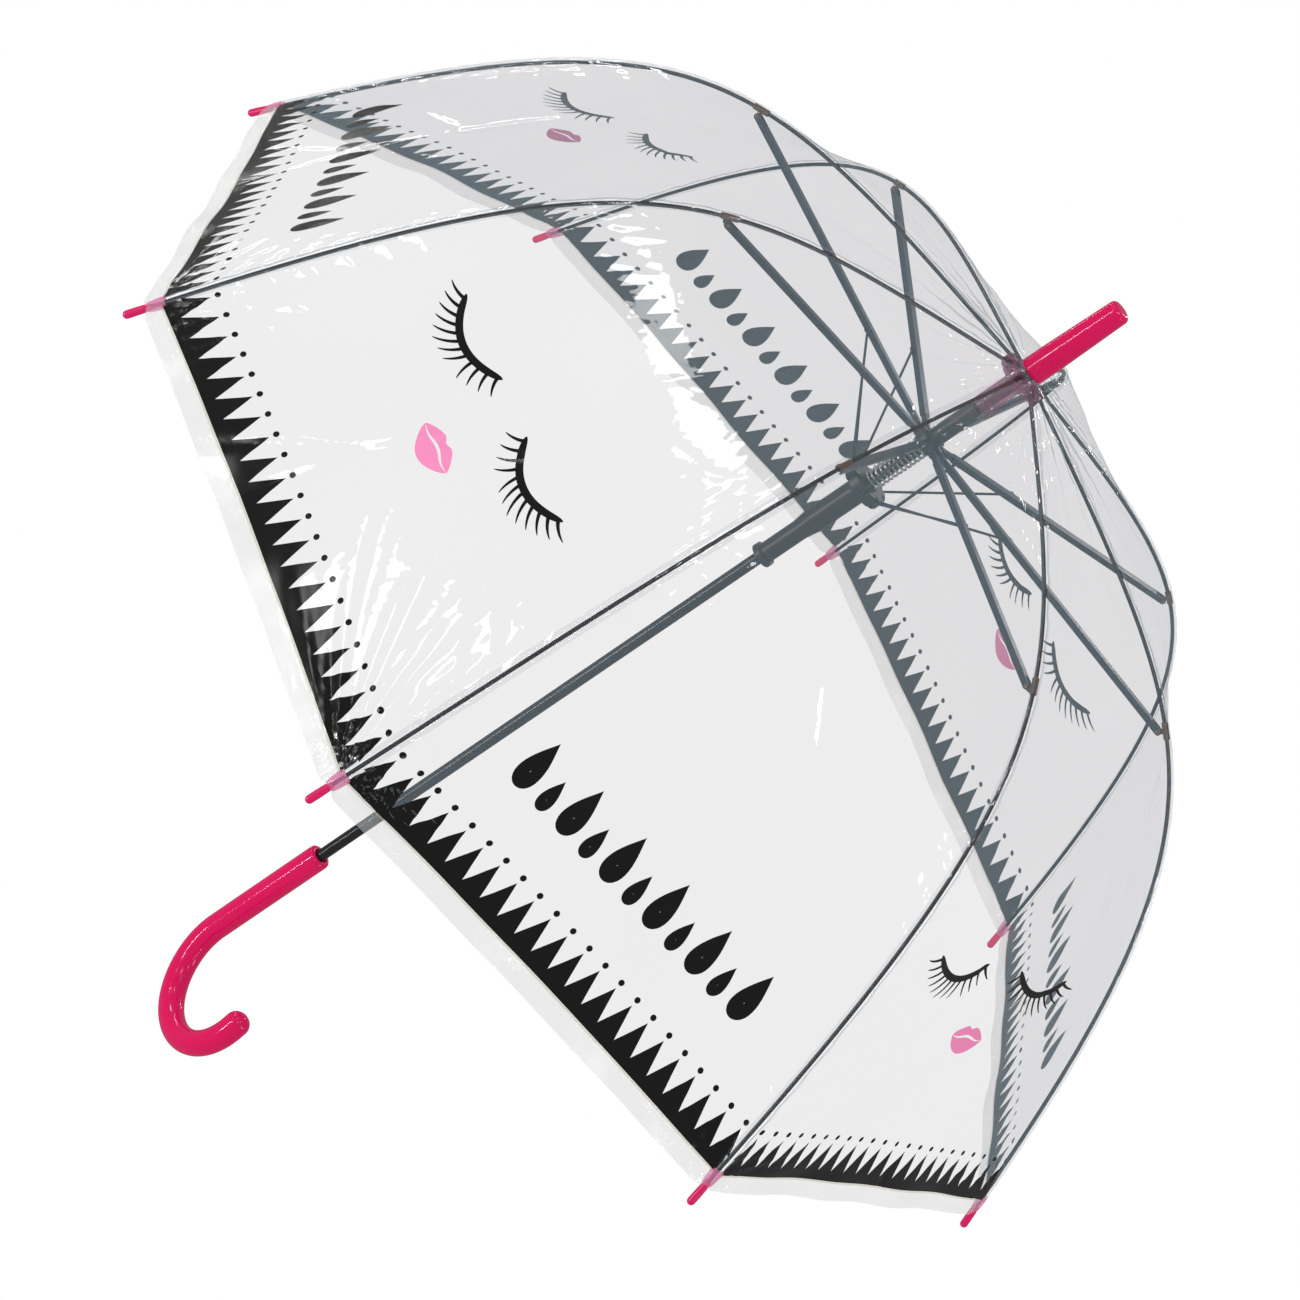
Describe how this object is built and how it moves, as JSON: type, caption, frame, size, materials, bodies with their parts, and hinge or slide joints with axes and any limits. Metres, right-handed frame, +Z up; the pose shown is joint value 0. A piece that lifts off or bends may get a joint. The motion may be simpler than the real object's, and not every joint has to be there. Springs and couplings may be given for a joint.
{
  "type": "clear bubble umbrella",
  "caption": "Clear dome stick umbrella with eight folding ribs, a spring-opened runner, stretchers and links, printed border, crook handle and ferrule.",
  "frame": {"origin": "on the shaft's axis, half way down the straight grip, where a hand holds it", "axes": "+Z up the shaft to the ferrule; +X the way the crook opens, in the plane of the crook and of ribs 1 and 5"},
  "size_m": [0.8518, 0.8518, 0.8124],
  "materials": {
    "clear_film": "clear soft PVC film with a printed black border, gloss",
    "handle_pink": "magenta-pink moulded plastic, high gloss",
    "tip_pink": "pink soft vinyl",
    "crown_pink": "magenta moulded plastic",
    "black_steel": "black enamelled steel",
    "black_plastic": "black moulded plastic, satin",
    "bright_steel": "plated spring and binding wire",
    "clear_plastic": "clear moulded plastic"
  },
  "bodies": {
    "frame": {"shaft": "black_steel", "handle": "handle_pink", "crown": "crown_pink", "crown_wire": "bright_steel", "canopy_washer": "clear_plastic", "ferrule": "handle_pink"},
    "runner": {"runner": "black_plastic", "runner_wire": "bright_steel", "main_spring": "bright_steel"},
    "hub": {"stretcher_hub": "black_plastic", "hub_wire": "bright_steel"},
    "catch": {"catch": "bright_steel"},
    "rib_inner_1": {"rib_1": "black_steel"},
    "rib_outer_1": {"tip_1": "tip_pink"},
    "stretcher_1": {"stretcher_1": "black_steel"},
    "link_1": {"link_1": "black_steel"},
    "rib_inner_2": {"rib_2": "black_steel"},
    "rib_outer_2": {"tip_2": "tip_pink"},
    "stretcher_2": {"stretcher_2": "black_steel"},
    "link_2": {"link_2": "black_steel"},
    "rib_inner_3": {"rib_3": "black_steel"},
    "rib_outer_3": {"tip_3": "tip_pink"},
    "stretcher_3": {"stretcher_3": "black_steel"},
    "link_3": {"link_3": "black_steel"},
    "rib_inner_4": {"rib_4": "black_steel"},
    "rib_outer_4": {"tip_4": "tip_pink"},
    "stretcher_4": {"stretcher_4": "black_steel"},
    "link_4": {"link_4": "black_steel"},
    "rib_inner_5": {"rib_5": "black_steel"},
    "rib_outer_5": {"tip_5": "tip_pink"},
    "stretcher_5": {"stretcher_5": "black_steel"},
    "link_5": {"link_5": "black_steel"},
    "rib_inner_6": {"rib_6": "black_steel"},
    "rib_outer_6": {"tip_6": "tip_pink"},
    "stretcher_6": {"stretcher_6": "black_steel"},
    "link_6": {"link_6": "black_steel"},
    "rib_inner_7": {"rib_7": "black_steel"},
    "rib_outer_7": {"tip_7": "tip_pink"},
    "stretcher_7": {"stretcher_7": "black_steel"},
    "link_7": {"link_7": "black_steel"},
    "rib_inner_8": {"rib_8": "black_steel"},
    "rib_outer_8": {"tip_8": "tip_pink"},
    "stretcher_8": {"stretcher_8": "black_steel"},
    "link_8": {"link_8": "black_steel"},
    "gore_upper_1": {"film_upper_1": "clear_film"},
    "gore_lower_1": {"film_lower_1": "clear_film"},
    "gore_upper_2": {"film_upper_2": "clear_film"},
    "gore_lower_2": {"film_lower_2": "clear_film"},
    "gore_upper_3": {"film_upper_3": "clear_film"},
    "gore_lower_3": {"film_lower_3": "clear_film"},
    "gore_upper_4": {"film_upper_4": "clear_film"},
    "gore_lower_4": {"film_lower_4": "clear_film"},
    "gore_upper_5": {"film_upper_5": "clear_film"},
    "gore_lower_5": {"film_lower_5": "clear_film"},
    "gore_upper_6": {"film_upper_6": "clear_film"},
    "gore_lower_6": {"film_lower_6": "clear_film"},
    "gore_upper_7": {"film_upper_7": "clear_film"},
    "gore_lower_7": {"film_lower_7": "clear_film"},
    "gore_upper_8": {"film_upper_8": "clear_film"},
    "gore_lower_8": {"film_lower_8": "clear_film"}
  },
  "joints": [
    {"name": "runner_slide", "type": "slide", "parent": "frame", "child": "runner", "axis": [0, 0, 1], "range_m": [-0.32755, 0], "stiffness_N_per_m": 60, "springref_m": 0.2, "deforming": ["main_spring"]},
    {"name": "hub_slide", "type": "slide", "parent": "frame", "child": "hub", "axis": [0, 0, 1], "range_m": [-0.36076, 0]},
    {"name": "catch_press", "type": "slide", "parent": "frame", "child": "catch", "axis": [1, 0, 0], "range_m": [0, 0.0033], "stiffness_N_per_m": 900, "springref_m": -0.002},
    {"name": "rib_hinge_1", "type": "hinge", "parent": "frame", "child": "rib_inner_1", "pos_m": [0.013, 0, 0.634], "axis": [0, 1, 0], "range_deg": [0, 71.7]},
    {"name": "rib_flex_1", "type": "hinge", "parent": "rib_inner_1", "child": "rib_outer_1", "pos_m": [0.22457, 0, 0.58398], "axis": [0, -1, 0], "range_deg": [0, 38.1], "deforming": ["rib_1"]},
    {"name": "stretcher_hinge_1", "type": "hinge", "parent": "hub", "child": "stretcher_1", "pos_m": [0.0086, 0, 0.5624], "axis": [0, -1, 0], "range_deg": [0, 78.12]},
    {"name": "link_hinge_1", "type": "hinge", "parent": "runner", "child": "link_1", "pos_m": [0.0132, 0.0036, 0.512], "axis": [0, -1, 0], "range_deg": [0, 46.48]},
    {"name": "rib_hinge_2", "type": "hinge", "parent": "frame", "child": "rib_inner_2", "pos_m": [0.00919, 0.00919, 0.634], "axis": [-0.7071, 0.7071, 0], "range_deg": [0, 71.7]},
    {"name": "rib_flex_2", "type": "hinge", "parent": "rib_inner_2", "child": "rib_outer_2", "pos_m": [0.15879, 0.15879, 0.58398], "axis": [0.7071, -0.7071, 0], "range_deg": [0, 38.1], "deforming": ["rib_2"]},
    {"name": "stretcher_hinge_2", "type": "hinge", "parent": "hub", "child": "stretcher_2", "pos_m": [0.00608, 0.00608, 0.5624], "axis": [0.7071, -0.7071, 0], "range_deg": [0, 78.12]},
    {"name": "link_hinge_2", "type": "hinge", "parent": "runner", "child": "link_2", "pos_m": [0.00679, 0.01188, 0.512], "axis": [0.7071, -0.7071, 0], "range_deg": [0, 46.48]},
    {"name": "rib_hinge_3", "type": "hinge", "parent": "frame", "child": "rib_inner_3", "pos_m": [0, 0.013, 0.634], "axis": [-1, 0, 0], "range_deg": [0, 71.7]},
    {"name": "rib_flex_3", "type": "hinge", "parent": "rib_inner_3", "child": "rib_outer_3", "pos_m": [0, 0.22457, 0.58398], "axis": [1, 0, 0], "range_deg": [0, 38.1], "deforming": ["rib_3"]},
    {"name": "stretcher_hinge_3", "type": "hinge", "parent": "hub", "child": "stretcher_3", "pos_m": [0, 0.0086, 0.5624], "axis": [1, 0, 0], "range_deg": [0, 78.12]},
    {"name": "link_hinge_3", "type": "hinge", "parent": "runner", "child": "link_3", "pos_m": [-0.0036, 0.0132, 0.512], "axis": [1, 0, 0], "range_deg": [0, 46.48]},
    {"name": "rib_hinge_4", "type": "hinge", "parent": "frame", "child": "rib_inner_4", "pos_m": [-0.00919, 0.00919, 0.634], "axis": [-0.7071, -0.7071, 0], "range_deg": [0, 71.7]},
    {"name": "rib_flex_4", "type": "hinge", "parent": "rib_inner_4", "child": "rib_outer_4", "pos_m": [-0.15879, 0.15879, 0.58398], "axis": [0.7071, 0.7071, 0], "range_deg": [0, 38.1], "deforming": ["rib_4"]},
    {"name": "stretcher_hinge_4", "type": "hinge", "parent": "hub", "child": "stretcher_4", "pos_m": [-0.00608, 0.00608, 0.5624], "axis": [0.7071, 0.7071, 0], "range_deg": [0, 78.12]},
    {"name": "link_hinge_4", "type": "hinge", "parent": "runner", "child": "link_4", "pos_m": [-0.01188, 0.00679, 0.512], "axis": [0.7071, 0.7071, 0], "range_deg": [0, 46.48]},
    {"name": "rib_hinge_5", "type": "hinge", "parent": "frame", "child": "rib_inner_5", "pos_m": [-0.013, 0, 0.634], "axis": [0, -1, 0], "range_deg": [0, 71.7]},
    {"name": "rib_flex_5", "type": "hinge", "parent": "rib_inner_5", "child": "rib_outer_5", "pos_m": [-0.22457, 0, 0.58398], "axis": [0, 1, 0], "range_deg": [0, 38.1], "deforming": ["rib_5"]},
    {"name": "stretcher_hinge_5", "type": "hinge", "parent": "hub", "child": "stretcher_5", "pos_m": [-0.0086, 0, 0.5624], "axis": [0, 1, 0], "range_deg": [0, 78.12]},
    {"name": "link_hinge_5", "type": "hinge", "parent": "runner", "child": "link_5", "pos_m": [-0.0132, -0.0036, 0.512], "axis": [0, 1, 0], "range_deg": [0, 46.48]},
    {"name": "rib_hinge_6", "type": "hinge", "parent": "frame", "child": "rib_inner_6", "pos_m": [-0.00919, -0.00919, 0.634], "axis": [0.7071, -0.7071, 0], "range_deg": [0, 71.7]},
    {"name": "rib_flex_6", "type": "hinge", "parent": "rib_inner_6", "child": "rib_outer_6", "pos_m": [-0.15879, -0.15879, 0.58398], "axis": [-0.7071, 0.7071, 0], "range_deg": [0, 38.1], "deforming": ["rib_6"]},
    {"name": "stretcher_hinge_6", "type": "hinge", "parent": "hub", "child": "stretcher_6", "pos_m": [-0.00608, -0.00608, 0.5624], "axis": [-0.7071, 0.7071, 0], "range_deg": [0, 78.12]},
    {"name": "link_hinge_6", "type": "hinge", "parent": "runner", "child": "link_6", "pos_m": [-0.00679, -0.01188, 0.512], "axis": [-0.7071, 0.7071, 0], "range_deg": [0, 46.48]},
    {"name": "rib_hinge_7", "type": "hinge", "parent": "frame", "child": "rib_inner_7", "pos_m": [0, -0.013, 0.634], "axis": [1, 0, 0], "range_deg": [0, 71.7]},
    {"name": "rib_flex_7", "type": "hinge", "parent": "rib_inner_7", "child": "rib_outer_7", "pos_m": [0, -0.22457, 0.58398], "axis": [-1, 0, 0], "range_deg": [0, 38.1], "deforming": ["rib_7"]},
    {"name": "stretcher_hinge_7", "type": "hinge", "parent": "hub", "child": "stretcher_7", "pos_m": [0, -0.0086, 0.5624], "axis": [-1, 0, 0], "range_deg": [0, 78.12]},
    {"name": "link_hinge_7", "type": "hinge", "parent": "runner", "child": "link_7", "pos_m": [0.0036, -0.0132, 0.512], "axis": [-1, 0, 0], "range_deg": [0, 46.48]},
    {"name": "rib_hinge_8", "type": "hinge", "parent": "frame", "child": "rib_inner_8", "pos_m": [0.00919, -0.00919, 0.634], "axis": [0.7071, 0.7071, 0], "range_deg": [0, 71.7]},
    {"name": "rib_flex_8", "type": "hinge", "parent": "rib_inner_8", "child": "rib_outer_8", "pos_m": [0.15879, -0.15879, 0.58398], "axis": [-0.7071, -0.7071, 0], "range_deg": [0, 38.1], "deforming": ["rib_8"]},
    {"name": "stretcher_hinge_8", "type": "hinge", "parent": "hub", "child": "stretcher_8", "pos_m": [0.00608, -0.00608, 0.5624], "axis": [-0.7071, -0.7071, 0], "range_deg": [0, 78.12]},
    {"name": "link_hinge_8", "type": "hinge", "parent": "runner", "child": "link_8", "pos_m": [0.01188, -0.00679, 0.512], "axis": [-0.7071, -0.7071, 0], "range_deg": [0, 46.48]},
    {"name": "gore_hinge_1", "type": "hinge", "parent": "frame", "child": "gore_upper_1", "pos_m": [0.0111, 0.0046, 0.627], "axis": [-0.3827, 0.9239, 0], "range_deg": [0, 73.34], "deforming": ["film_upper_1"]},
    {"name": "gore_fold_1", "type": "hinge", "parent": "gore_upper_1", "child": "gore_lower_1", "pos_m": [0.19338, 0.0801, 0.58801], "axis": [0.3827, -0.9239, 0], "range_deg": [0, 42.53], "deforming": ["film_lower_1"]},
    {"name": "gore_hinge_2", "type": "hinge", "parent": "frame", "child": "gore_upper_2", "pos_m": [0.0046, 0.0111, 0.627], "axis": [-0.9239, 0.3827, 0], "range_deg": [0, 73.34], "deforming": ["film_upper_2"]},
    {"name": "gore_fold_2", "type": "hinge", "parent": "gore_upper_2", "child": "gore_lower_2", "pos_m": [0.0801, 0.19338, 0.58801], "axis": [0.9239, -0.3827, 0], "range_deg": [0, 42.53], "deforming": ["film_lower_2"]},
    {"name": "gore_hinge_3", "type": "hinge", "parent": "frame", "child": "gore_upper_3", "pos_m": [-0.0046, 0.0111, 0.627], "axis": [-0.9239, -0.3827, 0], "range_deg": [0, 73.34], "deforming": ["film_upper_3"]},
    {"name": "gore_fold_3", "type": "hinge", "parent": "gore_upper_3", "child": "gore_lower_3", "pos_m": [-0.0801, 0.19338, 0.58801], "axis": [0.9239, 0.3827, 0], "range_deg": [0, 42.53], "deforming": ["film_lower_3"]},
    {"name": "gore_hinge_4", "type": "hinge", "parent": "frame", "child": "gore_upper_4", "pos_m": [-0.0111, 0.0046, 0.627], "axis": [-0.3827, -0.9239, 0], "range_deg": [0, 73.34], "deforming": ["film_upper_4"]},
    {"name": "gore_fold_4", "type": "hinge", "parent": "gore_upper_4", "child": "gore_lower_4", "pos_m": [-0.19338, 0.0801, 0.58801], "axis": [0.3827, 0.9239, 0], "range_deg": [0, 42.53], "deforming": ["film_lower_4"]},
    {"name": "gore_hinge_5", "type": "hinge", "parent": "frame", "child": "gore_upper_5", "pos_m": [-0.0111, -0.0046, 0.627], "axis": [0.3827, -0.9239, 0], "range_deg": [0, 73.34], "deforming": ["film_upper_5"]},
    {"name": "gore_fold_5", "type": "hinge", "parent": "gore_upper_5", "child": "gore_lower_5", "pos_m": [-0.19338, -0.0801, 0.58801], "axis": [-0.3827, 0.9239, 0], "range_deg": [0, 42.53], "deforming": ["film_lower_5"]},
    {"name": "gore_hinge_6", "type": "hinge", "parent": "frame", "child": "gore_upper_6", "pos_m": [-0.0046, -0.0111, 0.627], "axis": [0.9239, -0.3827, 0], "range_deg": [0, 73.34], "deforming": ["film_upper_6"]},
    {"name": "gore_fold_6", "type": "hinge", "parent": "gore_upper_6", "child": "gore_lower_6", "pos_m": [-0.0801, -0.19338, 0.58801], "axis": [-0.9239, 0.3827, 0], "range_deg": [0, 42.53], "deforming": ["film_lower_6"]},
    {"name": "gore_hinge_7", "type": "hinge", "parent": "frame", "child": "gore_upper_7", "pos_m": [0.0046, -0.0111, 0.627], "axis": [0.9239, 0.3827, 0], "range_deg": [0, 73.34], "deforming": ["film_upper_7"]},
    {"name": "gore_fold_7", "type": "hinge", "parent": "gore_upper_7", "child": "gore_lower_7", "pos_m": [0.0801, -0.19338, 0.58801], "axis": [-0.9239, -0.3827, 0], "range_deg": [0, 42.53], "deforming": ["film_lower_7"]},
    {"name": "gore_hinge_8", "type": "hinge", "parent": "frame", "child": "gore_upper_8", "pos_m": [0.0111, -0.0046, 0.627], "axis": [0.3827, 0.9239, 0], "range_deg": [0, 73.34], "deforming": ["film_upper_8"]},
    {"name": "gore_fold_8", "type": "hinge", "parent": "gore_upper_8", "child": "gore_lower_8", "pos_m": [0.19338, -0.0801, 0.58801], "axis": [-0.3827, -0.9239, 0], "range_deg": [0, 42.53], "deforming": ["film_lower_8"]}
  ],
  "couplings": [
    {"joint": "hub_slide", "follows": "runner_slide", "ratio": 1.1014},
    {"joint": "rib_hinge_1", "follows": "runner_slide", "rad_per_m": -3.8204},
    {"joint": "rib_flex_1", "follows": "runner_slide", "rad_per_m": -2.0299},
    {"joint": "stretcher_hinge_1", "follows": "runner_slide", "rad_per_m": -4.1626},
    {"joint": "link_hinge_1", "follows": "runner_slide", "rad_per_m": -2.4766},
    {"joint": "rib_hinge_2", "follows": "runner_slide", "rad_per_m": -3.8204},
    {"joint": "rib_flex_2", "follows": "runner_slide", "rad_per_m": -2.0299},
    {"joint": "stretcher_hinge_2", "follows": "runner_slide", "rad_per_m": -4.1626},
    {"joint": "link_hinge_2", "follows": "runner_slide", "rad_per_m": -2.4766},
    {"joint": "rib_hinge_3", "follows": "runner_slide", "rad_per_m": -3.8204},
    {"joint": "rib_flex_3", "follows": "runner_slide", "rad_per_m": -2.0299},
    {"joint": "stretcher_hinge_3", "follows": "runner_slide", "rad_per_m": -4.1626},
    {"joint": "link_hinge_3", "follows": "runner_slide", "rad_per_m": -2.4766},
    {"joint": "rib_hinge_4", "follows": "runner_slide", "rad_per_m": -3.8204},
    {"joint": "rib_flex_4", "follows": "runner_slide", "rad_per_m": -2.0299},
    {"joint": "stretcher_hinge_4", "follows": "runner_slide", "rad_per_m": -4.1626},
    {"joint": "link_hinge_4", "follows": "runner_slide", "rad_per_m": -2.4766},
    {"joint": "rib_hinge_5", "follows": "runner_slide", "rad_per_m": -3.8204},
    {"joint": "rib_flex_5", "follows": "runner_slide", "rad_per_m": -2.0299},
    {"joint": "stretcher_hinge_5", "follows": "runner_slide", "rad_per_m": -4.1626},
    {"joint": "link_hinge_5", "follows": "runner_slide", "rad_per_m": -2.4766},
    {"joint": "rib_hinge_6", "follows": "runner_slide", "rad_per_m": -3.8204},
    {"joint": "rib_flex_6", "follows": "runner_slide", "rad_per_m": -2.0299},
    {"joint": "stretcher_hinge_6", "follows": "runner_slide", "rad_per_m": -4.1626},
    {"joint": "link_hinge_6", "follows": "runner_slide", "rad_per_m": -2.4766},
    {"joint": "rib_hinge_7", "follows": "runner_slide", "rad_per_m": -3.8204},
    {"joint": "rib_flex_7", "follows": "runner_slide", "rad_per_m": -2.0299},
    {"joint": "stretcher_hinge_7", "follows": "runner_slide", "rad_per_m": -4.1626},
    {"joint": "link_hinge_7", "follows": "runner_slide", "rad_per_m": -2.4766},
    {"joint": "rib_hinge_8", "follows": "runner_slide", "rad_per_m": -3.8204},
    {"joint": "rib_flex_8", "follows": "runner_slide", "rad_per_m": -2.0299},
    {"joint": "stretcher_hinge_8", "follows": "runner_slide", "rad_per_m": -4.1626},
    {"joint": "link_hinge_8", "follows": "runner_slide", "rad_per_m": -2.4766},
    {"joint": "gore_hinge_1", "follows": "runner_slide", "rad_per_m": -3.908},
    {"joint": "gore_fold_1", "follows": "runner_slide", "rad_per_m": -2.2662},
    {"joint": "gore_hinge_2", "follows": "runner_slide", "rad_per_m": -3.908},
    {"joint": "gore_fold_2", "follows": "runner_slide", "rad_per_m": -2.2662},
    {"joint": "gore_hinge_3", "follows": "runner_slide", "rad_per_m": -3.908},
    {"joint": "gore_fold_3", "follows": "runner_slide", "rad_per_m": -2.2662},
    {"joint": "gore_hinge_4", "follows": "runner_slide", "rad_per_m": -3.908},
    {"joint": "gore_fold_4", "follows": "runner_slide", "rad_per_m": -2.2662},
    {"joint": "gore_hinge_5", "follows": "runner_slide", "rad_per_m": -3.908},
    {"joint": "gore_fold_5", "follows": "runner_slide", "rad_per_m": -2.2662},
    {"joint": "gore_hinge_6", "follows": "runner_slide", "rad_per_m": -3.908},
    {"joint": "gore_fold_6", "follows": "runner_slide", "rad_per_m": -2.2662},
    {"joint": "gore_hinge_7", "follows": "runner_slide", "rad_per_m": -3.908},
    {"joint": "gore_fold_7", "follows": "runner_slide", "rad_per_m": -2.2662},
    {"joint": "gore_hinge_8", "follows": "runner_slide", "rad_per_m": -3.908},
    {"joint": "gore_fold_8", "follows": "runner_slide", "rad_per_m": -2.2662}
  ]
}
